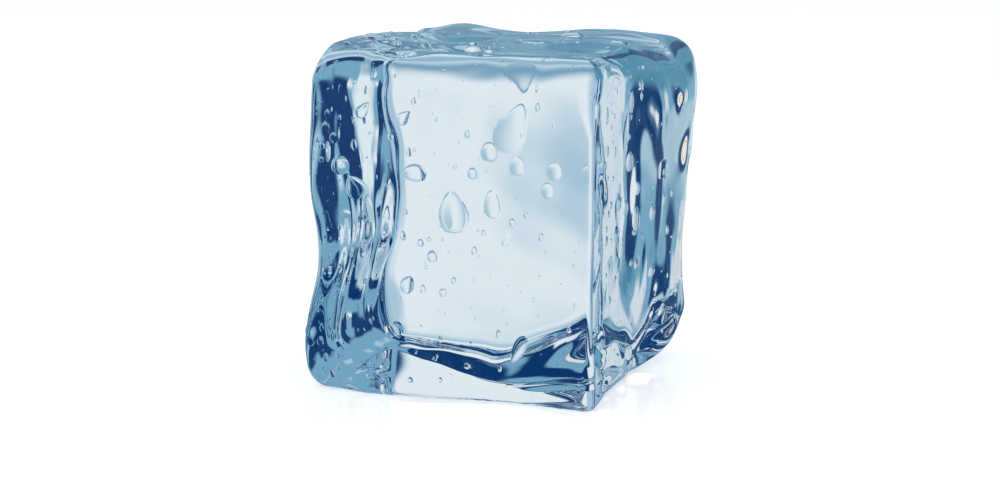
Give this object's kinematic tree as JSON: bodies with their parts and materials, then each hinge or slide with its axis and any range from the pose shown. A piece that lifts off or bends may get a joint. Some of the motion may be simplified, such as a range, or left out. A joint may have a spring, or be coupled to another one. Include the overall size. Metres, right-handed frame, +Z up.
{
  "type": "ice cube",
  "caption": "Clear block of ice, half melted, with hollowed sides, rounded edges, beads on its skin and a flat base to rest on.",
  "frame": {"origin": "middle of the flat base, on the surface that the cube stands on", "axes": "+Z up, the flattest and clearest face towards -Y, +X to the right"},
  "size_m": [0.0431, 0.0414, 0.0453],
  "materials": {
    "clear_ice": "clear and wet, pale blue through its depth"
  },
  "bodies": {
    "root": {"ice_cube": "clear_ice"}
  },
  "joints": []
}
